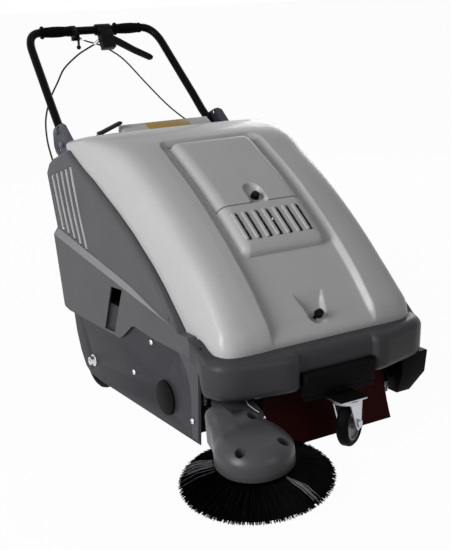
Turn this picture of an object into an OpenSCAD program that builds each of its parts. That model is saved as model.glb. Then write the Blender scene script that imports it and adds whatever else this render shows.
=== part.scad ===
/* [Body] */
// Width across the two side covers
body_w = 644; // [632:2:660]
// Wall of the moulded side covers
cover_t = 4; // [3:0.5:5]
// Wall of the hood and its lid
hood_t = 4; // [3:0.5:5]
// Depth of the long channel in the hood
channel_depth = 12; // [8:1:14]
// Width of each slot in the hood's grille
grille_slot_w = 12; // [8:1:16]

/* [Wheels] */
// Radius of the rear tyres
wheel_r = 84; // [80:1:88]
// Width of the rear tyres
wheel_w = 44; // [36:1:48]
// Radius of the front caster tyre
caster_r = 59; // [55:1:62]
// Direction of the caster fork at rest
caster_turn = -60; // [-90:5:90]

/* [Brushes] */
// Radius of the main brush over its bristles
main_brush_r = 100; // [92:1:102]
// Radius of the side brush over its tips
side_brush_r = 181; // [170:1:190]
// Tilt of the side brush
side_tilt = 8; // [4:0.5:10]

/* [Handle] */
// Height of the handle's top tube
handle_z = 972; // [950:2:1000]
// Width between the handle's upper corners
handle_w = 412; // [394:2:424]
// Diameter of the handle tube
tube_d = 25.4; // [23:0.2:26]
// Length of each grip
grip_l = 92; // [84:1:98]

/* [Hopper] */
// Width of the hopper
hopper_w = 480; // [440:2:482]
// Depth of the hopper from front to rear
hopper_l = 440; // [400:2:450]

/* [Hidden] */
$fn = 48;
half = max(body_w / 2, hopper_w / 2 + 82);
plate_x = half - 7;
plate_t = 3;
hood_half = half - 25;
deck_z = 286;
hood_rim = 264;
axle = [338, wheel_r];
brush_axis = [-83, main_brush_r + 4];
engine_axis = [60, 400];
belt_x = 268;
brush_pulley_r = 50;
engine_pulley_r = 35;
side_pos = [-300, -470, side_brush_r * sin(side_tilt) + 1];
side_low = [-0.8, -0.6];
arm_pivot = [229.7, 101.3];
arm_x = 72.6;
king = [2, -408];
caster_trail = 25;
fork_top = 130;
handle_y = 893;
handle_half = handle_w / 2;
tube_r = tube_d / 2;
bracket_x = 262;
leg_x = bracket_x - tube_r - 0.5;
leg_low = [570, 660];
leg_knee = [626, 711];
ledge_z = 680;
nut_reach = 14;
x_low = side_pos[0] - side_brush_r * 0.988;
x_high = plate_x + nut_reach;
y_low = side_pos[1] - side_brush_r * 0.990;
y_high = handle_y + 27.5;
shift_x = -(x_low + x_high) / 2;
shift_y = -(y_low + y_high) / 2;

light_grey = [0.66, 0.66, 0.67];
dark_grey = [0.22, 0.22, 0.24];
slate = [0.20, 0.21, 0.24];
black = [0.05, 0.05, 0.05];
steel = [0.62, 0.63, 0.65];
red = [0.55, 0.06, 0.05];

// Points at the ends of a list stand in for the missing neighbours
function pick(p, i) = p[max(0, min(len(p) - 1, i))];
function unit(v) = v / norm(v);
function blend(a, b, c, d, t) = 0.5 * (2 * b + (c - a) * t + (2 * a - 5 * b + 4 * c - d) * t * t
    + (3 * b - a - 3 * c + d) * t * t * t);
function smooth(p, n) = concat([for (i = [0 : len(p) - 2]) for (k = [0 : n - 1])
    blend(pick(p, i - 1), p[i], p[i + 1], pick(p, i + 2), k / n)], [p[len(p) - 1]]);
function heading(p) = [for (i = [0 : len(p) - 1]) unit(pick(p, i + 1) - pick(p, i - 1))];

// Crest of the hood from its rear edge, over the top, down to its front rim
hood_rail = [[480, 694], [380, 712], [280, 714], [190, 697], [100, 652], [10, 600], [-80, 538],
    [-170, 468], [-244, 402], [-290, 352], [-317, 320], [-330, 288], [-332, hood_rim - 4]];
hood_path = smooth(hood_rail, 2);
// The lid covers the part of the crest from its first to its last point here
lid_path = smooth([[192, 698], [100, 652], [10, 600], [-54, 556.6]], 3);
grille_path = smooth([[-58, 553.8], [-114, 511.8], [-172, 466.3]], 2);

// Half section of the hood, as share of its half width and height above the crest
hood_half_section = [[1, -145], [0.993, -108], [0.978, -76], [0.956, -49], [0.922, -28], [0.865, -12],
    [0.775, -3], [0.64, 1], [0.505, 0], [0.468, -channel_depth]];
hood_section = concat([for (p = hood_half_section) [-p[0] * hood_half, p[1]]],
    [for (i = [len(hood_half_section) - 1 : -1 : 0])
        [hood_half_section[i][0] * hood_half, hood_half_section[i][1]]]);
raised_section = [[-122, -channel_depth], [-107, 4], [-60, 8], [60, 8], [107, 4], [122, -channel_depth]];

function inset(s, t) = let (h = heading(s)) [for (i = [0 : len(s) - 1]) s[i] - t * [-h[i][1], h[i][0]]];
function strip_faces(n, m) = concat(
    [for (i = [0 : n - 2]) for (k = [0 : m - 1]) let (j = (k + 1) % m)
        each [[i * m + k, i * m + j, i * m + j + m], [i * m + k, i * m + j + m, i * m + k + m]]]);

// A shell of even wall whose section follows a crest in the side view
module swept_shell(path, section, wall) {
    n = len(path);
    m = len(section);
    h = heading(path);
    inner = inset(section, wall);
    loop = concat(section, [for (i = [m - 1 : -1 : 0]) inner[i]]);
    points = [for (i = [0 : n - 1]) for (s = loop)
        [s[0], path[i][0] + s[1] * h[i][1], path[i][1] - s[1] * h[i][0]]];
    last = (n - 1) * 2 * m;
    caps = [for (k = [0 : m - 2]) let (a = k, b = k + 1, c = 2 * m - 2 - k, d = 2 * m - 1 - k)
        each [[a, c, b], [a, d, c], [last + a, last + b, last + c], [last + a, last + c, last + d]]];
    polyhedron(points, concat(strip_faces(n, 2 * m), caps));
}

// A round bar along a path
module bar(path, r, sides, side_ref) {
    n = len(path);
    h = heading(path);
    points = [for (i = [0 : n - 1]) let (a = unit(cross(h[i], side_ref)), b = cross(a, h[i]))
        for (k = [0 : sides - 1]) path[i] + r * (cos(360 * k / sides) * a + sin(360 * k / sides) * b)];
    last = (n - 1) * sides;
    caps = [for (k = [1 : sides - 2]) each [[0, k + 1, k], [last, last + k, last + k + 1]]];
    polyhedron(points, concat(strip_faces(n, sides), caps));
}

module place() {
    translate([shift_x, shift_y, 0]) children();
}

// Children become one closed moulding
module moulded() {
    resize([0, 0, 0]) union() children();
}

module right_hand() {
    mirror([1, 0, 0]) children();
}

module both_sides() {
    children();
    right_hand() children();
}

// Extrudes a side view, drawn as y and z, across the body
module side_view(x0, t) {
    translate([x0, 0, 0]) rotate([90, 0, 90]) linear_extrude(t) children();
}

// Extrudes a front view, drawn as x and z, along the body
module front_view(y0, t) {
    translate([0, y0 + t, 0]) rotate([90, 0, 0]) linear_extrude(t) children();
}

module x_rod(x0, x1, at, r) {
    translate([x0, at[0], at[1]]) rotate([0, 90, 0]) cylinder(r = r, h = x1 - x0);
}

module block(low, high) {
    translate(low) cube(high - low);
}

// Frame
module chassis_frame() {
    color(slate) place() difference() {
        union() {
            block([-plate_x + plate_t, -265, 190], [plate_x - plate_t, -225, 246]);
            block([-plate_x + plate_t, -60, deck_z - 4], [plate_x - plate_t, 486, deck_z]);
            block([-hood_half + 17, -262, deck_z - 4], [hood_half - 17, -58, deck_z]);
            block([-hood_half + 17, -262, 240], [hood_half - 17, -252, deck_z]);
            block([-plate_x + plate_t, 458, deck_z - 2], [plate_x - plate_t, 486, deck_z + 40]);
            block([king[0] - 40, king[1] - 33, fork_top + 5], [king[0] + 40, -225, fork_top + 8]);
            block([king[0] - 40, -372, fork_top + 5], [king[0] + 40, -225, fork_top + 24]);
            block([king[0] - 40, -262, fork_top + 20], [king[0] + 40, -228, 200]);
            block([-80, -290, 92], [232, -286, 214]);
            block([-80, -290, 206], [232, -250, 214]);
            block([-plate_x + plate_t, -206, 44], [plate_x - plate_t, -202, 200]);
            block([-plate_x + plate_t, -228, 190], [plate_x - plate_t, -202, 194]);
            both_sides() {
                block([hopper_w / 2 + 2, 70, 54], [hopper_w / 2 + 5, 480, deck_z - 2]);
                block([hopper_w / 2 - 12, 70, 54], [hopper_w / 2 + 5, 480, 57.7]);
            }
            side_frame() {
                block([arm_x - 62, arm_pivot[0] - 16, arm_pivot[1] - 16], [arm_x - 54,
                    arm_pivot[0] + 18, 172]);
                block([arm_x + 54, arm_pivot[0] - 16, arm_pivot[1] - 16], [arm_x + 62,
                    arm_pivot[0] + 18, 172]);
            }
            block([-plate_x + plate_t, -262, 176], [-200, -228, 200]);
        }
        block([belt_x - 18, -150, deck_z - 20], [belt_x + 18, 130, deck_z + 10]);
        side_frame() x_rod(arm_x - 80, arm_x + 80, arm_pivot, 8);
        block([-400, -300, 20], [-plate_x + plate_t, 500, 400]);
    }
}

module plate_outline() {
    polygon([[-262, 254], [-246, 32], [300, 32], [362, 36], [396, 52], [424, 92], [446, 146], [458, 204],
        [462, 250], [462, 284], [-262, 284]]);
}

module strip_outline() {
    polygon([[-150, 250], [-178, 230], [-196, 205], [-209, 172], [-214, 140], [-212, 40], [-240, 40],
        [-254, 250]]);
}

module side_plate() {
    difference() {
        union() {
            side_view(plate_x - plate_t, plate_t) plate_outline();
            side_view(plate_x - 0.5, 2) strip_outline();
        }
        x_rod(plate_x - 20, plate_x + 20, axle, 8);
        x_rod(plate_x - 20, plate_x + 20, brush_axis, 30);
    }
}

module left_side_plate() {
    color(slate) place() side_plate();
}

module right_side_plate() {
    color(slate) place() right_hand() side_plate();
}

module cover_outline() {
    polygon([[588, 600], [574, 622], [552, 634], [500, 652], [466, 667], [448, 668], [430, 658],
        [367, 628], [300, 602], [235, 571], [180, 546], [128, 519], [80, 493], [35, 463], [-6, 438],
        [-44, 409], [-78, 382], [-110, 352], [-138, 327], [-160, 306], [-168, 297], [-214, 297],
        [-222, 288], [-252, 253], [-248, 249], [-48, 249], [60, 256], [76, 252], [130, 212], [150, 201],
        [470, 201], [500, 206], [506, 212]]);
}

module vent_outline(i, w, ends) {
    top = [552 - 31 * i, 584 + 10 * i - ends];
    low = [510 - 40 * i, 436 - 8 * i + ends];
    polygon([top + [w, 2], top + [-w, 4], low + [-w, -1], low + [w, -3]]);
}

module slot_outline() {
    polygon([[186, 336], [122, 340], [178, 210], [238, 206]]);
}

// Everything inside the cover's skin: upright below the crease, leaning inwards above it
module cover_envelope(back) {
    crease = [[-300, 297], [640, 443]];
    rise = 300;
    lean = 16;
    x0 = half - 82;
    x1 = half - back;
    points = [for (c = crease) each [[x0, c[0], 100], [x1, c[0], 100], [x1, c[0], c[1]],
        [x1 - lean, c[0], c[1] + rise], [x0, c[0], c[1] + rise]]];
    caps = [for (k = [1 : 3]) each [[0, k + 1, k], [5, 5 + k, 6 + k]]];
    polyhedron(points, concat(strip_faces(2, 5), caps));
}

module side_cover() {
    moulded() difference() {
        intersection() {
            side_view(half - 22, 22) cover_outline();
            cover_envelope(0);
        }
        intersection() {
            side_view(half - 23, 23) offset(delta = -cover_t) cover_outline();
            cover_envelope(cover_t);
        }
        block([half - 23, -300, 150], [plate_x + 2, 480, deck_z + 3]);
        side_view(half - 40, 50) {
            for (i = [0 : 4]) vent_outline(i, 10, 0);
            slot_outline();
        }
    }
}

module left_side_cover() {
    color(dark_grey) place() side_cover();
}

module right_side_cover() {
    color(dark_grey) place() right_hand() side_cover();
}

// Light bars that stand in the cover's vents, on one backing sheet
module vent_bars() {
    moulded() {
        intersection() {
            side_view(half - 60, 60) translate([3, 0]) for (i = [0 : 4]) vent_outline(i, 6, 2);
            cover_envelope(1.5);
            block([half - 21, 300, 380], [half, 600, 660]);
        }
        side_view(half - 23.5, 3) polygon([[556, 596], [552, 606], [428, 636], [332, 412], [340, 396],
            [508, 426]]);
    }
}

module left_vent_bars() {
    color(light_grey) place() vent_bars();
}

module right_vent_bars() {
    color(light_grey) place() right_hand() vent_bars();
}

module bumper_plan(inward) {
    offset(r = 90 - inward) offset(delta = -90)
        polygon([[-half, -150], [-half, -344], [-150, -386], [150, -386], [half, -344], [half, -150]]);
}

module front_bumper() {
    color(dark_grey) place() moulded() difference() {
        union() {
            intersection() {
                translate([0, 0, 100]) linear_extrude(220) bumper_plan(0);
                side_view(-half - 1, 2 * half + 2)
                    polygon([[-226, 294], [-300, 265], [-420, 263], [-420, 176], [-400, 166], [-300, 166],
                        [-266, 248], [-258, 252]]);
            }
            hull() {
                block([236, -346, 170], [half - 3, -280, 172]);
                block([236, -340, 112], [half - 6, -280, 114]);
                block([238, -320, 62], [half - 40, -284, 64]);
            }
        }
        translate([0, 0, 160]) linear_extrude(96) intersection() {
            bumper_plan(22);
            translate([-half, -364]) square([2 * half, 400]);
        }
        block([-plate_x - 2, -268, 160], [plate_x + 2, -100, 320]);
        block([-hood_half - 2, -345, hood_rim - 0.3], [hood_half + 2, -200, 320]);
        front_view(-440, 64) polygon([[-111, 100], [111, 100], [111, 214], [124, 236], [150, 270],
            [-150, 270],
            [-124, 236], [-111, 214]]);
        block([-half + 60, -330, 40], [-60, -200, 170]);
    }
}

module bumper_block() {
    color(dark_grey) place() moulded() {
        hull() {
            block([-109, -384, 150], [109, -376, 210]);
            block([-101, -397, 158], [101, -396, 202]);
        }
        block([-104, -388, fork_top + 8.5], [104, -377, 152]);
    }
}

module rear_panel() {
    color(slate) place() difference() {
        side_view(-hood_half + 4, 2 * hood_half - 8)
            polygon([[489, 664], [489, ledge_z], [540, ledge_z], [577, 604], [490, deck_z], [486, deck_z],
                [486, deck_z + 8], [573, 604], [538, ledge_z - 3], [492, ledge_z - 3], [492, 664]]);
        both_sides() block([bracket_x - 5, 480, 590], [half, 660, 760]);
        both_sides() block([bracket_x + 8, 480, 450], [half, 660, 760]);
    }
}

module switch_box() {
    color(light_grey) place() side_view(-100, 300) polygon([[493, ledge_z], [493, ledge_z + 12],
        [534, ledge_z + 32], [540, ledge_z + 28], [540, ledge_z]]);
}

// Handle and its controls
module bracket_outline() {
    polygon([[396, deck_z], [456, deck_z], [456, deck_z + 44], [548, 596], [596, 622], [626, 640],
        [636, 656], [638, 696],
        [630, 708], [586, 726], [566, 730], [546, 727], [500, 690], [470, 660]]);
}

module bracket() {
    difference() {
        side_view(bracket_x, 3) bracket_outline();
        x_rod(bracket_x - 5, bracket_x + 8, [614, 700], 4);
        x_rod(bracket_x - 5, bracket_x + 8, [578, 667], 4);
        x_rod(bracket_x - 5, bracket_x + 8, [594, 714], 4.5);
        x_rod(bracket_x - 5, bracket_x + 8, [594, 650], 4.5);
    }
}

module left_bracket() {
    color(slate) place() bracket();
}

module right_bracket() {
    color(slate) place() right_hand() bracket();
}

module bracket_bolts() {
    color(steel) place() both_sides() for (p = [[614, 700], [578, 667]]) {
        x_rod(bracket_x + 3, bracket_x + 5, p, 9);
        x_rod(bracket_x + 5, bracket_x + 10, p, 6.5);
        x_rod(bracket_x - 0.5, bracket_x + 4, p, 4);
    }
}

handle_corner = [handle_half, handle_y, handle_z];
handle_leg_top = [leg_x, leg_knee[0], leg_knee[1]];
leg_way = unit(handle_leg_top - handle_corner);
bend = 34;
handle_side = concat(
    [[leg_x, leg_low[0], leg_low[1]], handle_leg_top - [0, 8, 7.2], handle_leg_top + [-2, 12, 10.8]],
    [for (t = [0.2, 0.5]) handle_leg_top + t * (handle_corner - handle_leg_top)],
    [for (k = [0 : 8]) let (t = k / 8)
        handle_corner + (1 - t) * (1 - t) * bend * leg_way + t * t * [-bend, 0, 0]]);
handle_path = concat(handle_side, [for (i = [len(handle_side) - 1 : -1 : 0])
    [-handle_side[i][0], handle_side[i][1], handle_side[i][2]]]);

module handle_tube() {
    color(black) place() bar(handle_path, tube_r, 14, [0, 0.66, -0.75]);
}

module top_sleeve(x0, x1, r) {
    difference() {
        x_rod(x0, x1, [handle_y, handle_z], r);
        x_rod(x0 - 1, x1 + 1, [handle_y, handle_z], tube_r + 0.1);
    }
}

module grip(x0) {
    translate([x0, handle_y, handle_z]) rotate([0, 90, 0]) difference() {
        rotate_extrude() polygon([[0, 0], [20, 0], [20, 4], [15, 6], [15.5, 14], [17, grip_l * 0.4],
            [17, grip_l * 0.65], [15, grip_l - 8], [16, grip_l - 5], [16, grip_l], [0, grip_l]]);
        translate([0, 0, -1]) cylinder(r = tube_r + 0.1, h = grip_l + 2);
    }
}

grip_end = handle_half - bend;
throttle_x = -grip_end + grip_l + 5;
throttle_pin = [handle_y - 20, handle_z - 6];
drive_pin = [52, handle_y - 18, handle_z - 26];
drive_lean = 63.4;

module right_grip() {
    color(black) place() grip(-grip_end);
}

module left_grip() {
    color(black) place() grip(grip_end - grip_l);
}

module throttle_clamp() {
    color(black) place() difference() {
        union() {
            top_sleeve(throttle_x, throttle_x + 16, 17);
            x_rod(throttle_x + 3, throttle_x + 13, throttle_pin, 13);
            block([throttle_x + 4, handle_y - 11.5, handle_z - 30], [throttle_x + 24.4, handle_y + 2,
                handle_z - 14]);
        }
        x_rod(throttle_x - 1, throttle_x + 20, [handle_y, handle_z], tube_r + 0.1);
        x_rod(throttle_x - 1, throttle_x + 20, throttle_pin, 3);
    }
}

module throttle_lever() {
    color(black) place() {
        x_rod(throttle_x + 1, throttle_x + 18, throttle_pin, 2.95);
        side_view(throttle_x + 16.4, 4) polygon([throttle_pin + [-8, 2], throttle_pin + [5.5, 4],
            throttle_pin + [4, -42], throttle_pin + [-4, -42]]);
        translate([throttle_x + 18.4, throttle_pin[0], throttle_pin[1] - 44]) sphere(r = 7);
    }
}

// The drive lever swings in a clevis that hangs from the tube
module drive_frame() {
    translate(drive_pin) rotate([drive_lean, 0, 0]) children();
}

module drive_clamp() {
    color(black) place() difference() {
        union() {
            top_sleeve(14, 62, 18);
            drive_frame() {
                for (z = [-13, 8]) translate([-32, -36, z]) cube([43, 60, 5]);
                translate([-32, -36, -13]) cube([7, 60, 26]);
                translate([-32, -36, -13]) cube([43, 6, 26]);
            }
        }
        x_rod(0, 80, [handle_y, handle_z], tube_r + 0.1);
        drive_frame() translate([0, 0, -30]) cylinder(r = 4.05, h = 60);
    }
}

module drive_lever() {
    color(black) place() drive_frame() {
        translate([0, 0, -15]) cylinder(r = 4, h = 30);
        translate([0, 0, -6]) linear_extrude(12) polygon([[-10, -6], [-9, 4], [0, 9], [12, 7], [34, -6],
            [80, -38], [128, -66], [136, -74], [134, -82], [124, -84], [76, -58], [26, -26], [0, -11]]);
    }
}

drive_start = [0, handle_y, handle_z];
drive_route = smooth([drive_start + [-10, -29, -45], drive_start + [-34, -29, -56],
    drive_start + [-68, -29, -74], [-118, 858, 861], [-150, 842, 822], [-183, 818, 787], [-213, 785, 754],
    [-238, 748, 722], [-258, 704, 690], [-272, 662, 658], [-281, 622, 628], [-285, 588, 590],
    [-284, 540, 520], [-282, 500, 420], [-282, 470, 328]], 4);
throttle_start = [throttle_x, handle_y, handle_z];
throttle_route = smooth([throttle_start + [47, 6, -29], throttle_start + [69, 19, -36],
    drive_start + [40, 25, -50], drive_start + [72, 17, -68], [108, 884, 871], [154, 836, 800],
    [186, 762, 735], [196, 690, 702], [196, 640, 690], [192, 590, 692], [190, 540, 694]], 4);

module drive_cable() {
    color(black) place() bar(drive_route, 2.8, 8, [0.6, -0.5, 0.62]);
}

module throttle_cable() {
    color(black) place() bar(throttle_route, 2.5, 8, [0.5, 0.62, 0.6]);
}

module cable_ferrules() {
    color(steel) place() {
        translate(drive_start) bar([[17.2, -19.7, -31], [4, -24, -37], [-9.4, -28.7, -44.6]], 5, 16,
            [0, 0, 1]);
        translate(throttle_start) bar([[27.4, -7.4, -23.5], [35, -2, -25], [46.5, 5.7, -28.9]], 4.5, 16,
            [0, 0, 1]);
    }
}

// Hood with its lid
knob_seat = [0, -36, 577];
front_seat = [0, -312, 326];

module along_hood(at, angle) {
    translate(at) rotate([angle, 0, 0]) children();
}

module scoop(depth) {
    hull() {
        translate([0, -3, 0]) cylinder(r1 = 17, r2 = 26, h = depth, $fn = 32);
        translate([0, 22, depth - 1]) cylinder(r = 20, h = 2, $fn = 32);
    }
}

module lid_cut(gap) {
    h = heading(lid_path);
    n = len(lid_path) - 1;
    out = [for (i = [0 : n]) lid_path[i] + 40 * [h[i][1],
        -h[i][0]] - (i == 0 ? gap : i == n ? -gap : 0) * h[i]];
    low = [for (i = [n : -1 : 0]) lid_path[i] - 40 * [h[i][1],
        -h[i][0]] - (i == 0 ? gap : i == n ? -gap : 0) * h[i]];
    side_view(-122.5 - gap, 245 + 2 * gap) polygon(concat(out, low));
}

module hood() {
    color(light_grey) place() moulded() difference() {
        union() {
            difference() {
                swept_shell(hood_path, hood_section, hood_t);
                lid_cut(0.6);
            }
            swept_shell(grille_path, raised_section, hood_t + 3);
            along_hood(front_seat, 50) translate([0, 8, -24]) cylinder(r = 32, h = 20);
        }
        for (i = [-3 : 3]) side_view(i * 31 - grille_slot_w / 2, grille_slot_w)
            polygon([[-82, 585], [-98, 520], [-150, 452], [-190, 436], [-206, 480], [-150, 560]]);
        along_hood(front_seat, 50) translate([0, 0, -13]) scoop(13);
        along_hood(front_seat, 50) translate([0, 0, -60]) cylinder(r = 5.4, h = 90);
        block([-half, -420, hood_rim - 60], [half, -90, hood_rim]);
    }
}

module access_lid() {
    color(light_grey) place() moulded() difference() {
        union() {
            swept_shell(lid_path, raised_section, hood_t);
            along_hood(knob_seat, 35) translate([0, 0, -14]) cylinder(r = 30, h = 14);
        }
        along_hood(knob_seat, 35) translate([0, 0, -9]) scoop(14);
        along_hood(knob_seat, 35) translate([0, 0, -60]) cylinder(r = 5.4, h = 90);
        lid_trim();
    }
}

// Trims the knob's boss flush with the lid's lower edge
module lid_trim() {
    n = len(lid_path) - 1;
    t = heading(lid_path)[n];
    out = 80 * [t[1], -t[0]];
    end = lid_path[n] - 0.1 * t;
    side_view(-200, 400) polygon([end + out, end + out + 80 * t, end - out + 80 * t, end - out]);
}

module turn_knob() {
    cylinder(r = 5, h = 20);
    translate([0, 0, 9.4]) cylinder(r1 = 12, r2 = 10, h = 12);
    translate([0, 0, -8]) cylinder(r = 4, h = 10);
}

module lid_knob() {
    color(black) place() along_hood(knob_seat, 35) translate([0, 0, -18]) turn_knob();
}

module hood_knob() {
    color(black) place() along_hood(front_seat, 50) translate([0, 0, -22]) turn_knob();
}

module latch_hub() {
    color(red) place() translate([-172, 512, ledge_z]) difference() {
        cylinder(r = 11, h = 14);
        translate([0, 0, 4]) cylinder(r = 5.05, h = 20);
    }
}

module latch_lever() {
    color(steel) place() translate([-172, 512, ledge_z]) {
        translate([0, 0, 4.3]) cylinder(r = 5, h = 16);
        front_view(-6, 12) polygon([[-8, 14.4], [-8, 21], [4, 24], [64, 46], [70, 45], [71, 40], [66,
            36], [8, 14.4]]);
    }
}

// Engine and belt drive
module engine_block() {
    color(steel) place() {
        difference() {
            union() {
                block([-70, -10, deck_z], [120, 150, deck_z + 150]);
                for (i = [0 : 5]) block([-60, 20, deck_z + 146 + 10 * i], [60, 124,
                    deck_z + 152 + 10 * i]);
                block([-40, 36, deck_z + 140], [40, 108, deck_z + 204]);
                translate([-110, 70, deck_z + 84]) rotate([0, 90, 0]) cylinder(r = 76, h = 44);
                x_rod(110, belt_x - 8, engine_axis, 16);
            }
            x_rod(belt_x - 40, belt_x + 40, engine_axis, 10.05);
        }
    }
}

module pulley(at, r) {
    difference() {
        union() {
            x_rod(belt_x - 7, belt_x - 5.4, at, r + 6);
            x_rod(belt_x - 6, belt_x + 6, at, r);
            x_rod(belt_x + 5.4, belt_x + 7, at, r + 6);
        }
        children();
    }
}

module engine_pulley() {
    color(steel) place() {
        pulley(engine_axis, engine_pulley_r);
        x_rod(belt_x - 36, belt_x + 12, engine_axis, 10);
    }
}

module brush_pulley() {
    color(steel) place() pulley(brush_axis, brush_pulley_r) x_rod(belt_x - 20, belt_x + 20, brush_axis,
        10);
}

module belt_loop(grow) {
    hull() {
        translate(brush_axis) circle(r = brush_pulley_r + grow);
        translate(engine_axis) circle(r = engine_pulley_r + grow);
    }
}

module drive_belt() {
    color(black) place() side_view(belt_x - 5, 10) difference() {
        belt_loop(4.8);
        belt_loop(0.4);
    }
}

// Main brush
drum_half = plate_x - 69;

module main_brush_core() {
    color(dark_grey) place() {
        x_rod(-drum_half, drum_half, brush_axis, 35);
        x_rod(-plate_x + 6, plate_x - 6, brush_axis, 10);
    }
}

module main_brush_bristles() {
    color(black) place() translate([8 - drum_half, brush_axis[0], brush_axis[1]]) rotate([0, 90, 0])
        linear_extrude(2 * drum_half - 16, twist = 70, slices = 14) difference() {
            union() {
                circle(r = 40, $fn = 36);
                for (i = [0 : 5]) rotate(60 * i) translate([30, -8]) square([main_brush_r - 30.5, 16]);
            }
            circle(r = 35.4, $fn = 36);
        }
}

module brush_bearings() {
    color(steel) place() both_sides() difference() {
        union() {
            x_rod(plate_x - plate_t - 22, plate_x - plate_t, brush_axis, 29);
            x_rod(plate_x - plate_t - 8, plate_x - plate_t, brush_axis, 42);
        }
        x_rod(plate_x - 60, plate_x + 20, brush_axis, 10.05);
    }
}

module axle_covers() {
    color(black) place() both_sides() {
        x_rod(plate_x, plate_x + 5, brush_axis, 45);
        x_rod(plate_x - plate_t + 0.2, plate_x + 2, brush_axis, 29.8);
    }
}

// Hopper
module hopper() {
    color(dark_grey) place() difference() {
        side_view(-hopper_w / 2, hopper_w) polygon([[505 - hopper_l, 58], [505, 58], [505, 270],
            [505 - hopper_l, 230]]);
        side_view(-hopper_w / 2 + 4, hopper_w - 8)
            polygon([[400 - hopper_l, 62], [501, 62], [501, 300], [400 - hopper_l, 300]]);
    }
}

module hopper_handle() {
    color(black) place() {
        x_rod(-90, 90, [533, 200], 9);
        for (x = [-84, 84]) block([x - 8, 505, 193], [x + 8, 533, 207]);
    }
}

module front_flap() {
    color(red) place() block([-80, -294, 6], [232, -290, 100]);
}

module flap_strips() {
    color(steel) place() for (x = [-62, 176]) difference() {
        block([x, -296, 62], [x + 52, -294, 90]);
        translate([x + 40, -300, 76]) rotate([-90, 0, 0]) cylinder(r = 4, h = 20);
    }
}

// Rear wheels
module stub_axles() {
    color(steel) place() both_sides() {
        x_rod(plate_x - 60, plate_x + 12, axle, 8);
        x_rod(plate_x - plate_t - 4, plate_x - plate_t, axle, 16);
        x_rod(plate_x - 64, plate_x - 59, axle, 12);
    }
}

module axle_nuts() {
    color(steel) place() both_sides() difference() {
        union() {
            x_rod(plate_x, plate_x + 2.5, axle, 17);
            translate([plate_x + 2.5, axle[0], axle[1]]) rotate([0, 90, 0]) cylinder(r = 13,
                h = nut_reach - 2.5, $fn = 6);
        }
        x_rod(plate_x - 1, plate_x + 40, axle, 8);
    }
}

wheel_x = plate_x - 31;

module wheel_hub() {
    translate([wheel_x, axle[0], axle[1]]) rotate([0, 90, 0]) difference() {
        union() {
            cylinder(r = wheel_r - 22, h = 16, center = true);
            rotate_extrude() polygon([[wheel_r - 26, -18], [wheel_r - 22, -18], [wheel_r - 22, 18],
                [wheel_r - 26, 18]]);
            cylinder(r = 20, h = 46, center = true);
        }
        cylinder(r = 8.05, h = 100, center = true);
    }
}

module tyre(r, bore, w) {
    rotate_extrude() polygon([[bore, -w / 2 + 3], [bore + 4, -w / 2], [r - 8, -w / 2], [r - 2,
        -w / 2 + 5], [r, -w / 4],
        [r, w / 4], [r - 2, w / 2 - 5], [r - 8, w / 2], [bore + 4, w / 2], [bore, w / 2 - 3]]);
}

module wheel_tyre() {
    translate([wheel_x, axle[0], axle[1]]) rotate([0, 90, 0]) tyre(wheel_r, wheel_r - 22, wheel_w);
}

module left_wheel_hub() {
    color(dark_grey) place() wheel_hub();
}

module right_wheel_hub() {
    color(dark_grey) place() right_hand() wheel_hub();
}

module left_tyre() {
    color(black) place() wheel_tyre();
}

module right_tyre() {
    color(black) place() right_hand() wheel_tyre();
}

// Front caster, drawn with its wheel straight behind the kingpin
module caster_frame() {
    translate([king[0], king[1], 0]) rotate(caster_turn) children();
}

module caster_plate() {
    color(steel) place() {
        block([king[0] - 40, king[1] - 33, fork_top + 1], [king[0] + 40, king[1] + 33, fork_top + 5]);
        translate([king[0], king[1], fork_top - 9]) cylinder(r = 10, h = 12);
    }
}

module caster_fork() {
    color(steel) place() caster_frame() difference() {
        union() {
            translate([0, 0, fork_top - 6]) cylinder(r = 36, h = 6.5);
            translate([-24, -26, fork_top - 8]) cube([48, 52 + caster_trail, 4]);
            for (s = [-1, 1]) side_view(s * 22 - 2, 4) polygon([[-26, fork_top - 4],
                [26 + caster_trail, fork_top - 4],
                [caster_trail + 16, caster_r - 8], [caster_trail + 6, caster_r - 16],
                    [caster_trail - 6, caster_r - 16],
                [caster_trail - 16, caster_r - 4]]);
        }
        translate([0, 0, fork_top - 40]) cylinder(r = 10.05, h = 80);
        x_rod(-40, 40, [caster_trail, caster_r], 6);
    }
}

module caster_axle() {
    color(steel) place() caster_frame() {
        x_rod(-26, 26, [caster_trail, caster_r], 6);
        x_rod(-30, -24, [caster_trail, caster_r], 10);
        x_rod(24, 30, [caster_trail, caster_r], 10);
    }
}

module caster_hub() {
    color(steel) place() caster_frame() translate([0, caster_trail, caster_r]) rotate([0, 90,
        0]) difference() {
        union() {
            cylinder(r = caster_r - 15, h = 14, center = true);
            rotate_extrude() polygon([[caster_r - 20, -13], [caster_r - 15, -13], [caster_r - 15, 13],
                [caster_r - 20, 13]]);
            cylinder(r = 14, h = 38, center = true);
        }
        cylinder(r = 6.05, h = 60, center = true);
    }
}

module caster_tyre() {
    color(black) place() caster_frame() translate([0, caster_trail, caster_r]) rotate([0, 90, 0])
        tyre(caster_r, caster_r - 15, 32);
}

// Side brush, drawn upright with its tips at zero height, then tilted as a whole
module side_frame() {
    translate(side_pos) rotate(a = side_tilt, v = [-side_low[1], side_low[0], 0]) children();
}

module side_brush_arm() {
    color(dark_grey) place() side_frame() difference() {
        union() {
            translate([0, 0, arm_pivot[1] - 14]) linear_extrude(14)
                polygon([[-4, 124], [86, 124], [arm_x + 48, arm_pivot[0]], [arm_x - 48, arm_pivot[0]]]);
            x_rod(arm_x - 53, arm_x + 53, arm_pivot, 15);
        }
        x_rod(arm_x - 80, arm_x + 80, arm_pivot, 8.05);
    }
}

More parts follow.
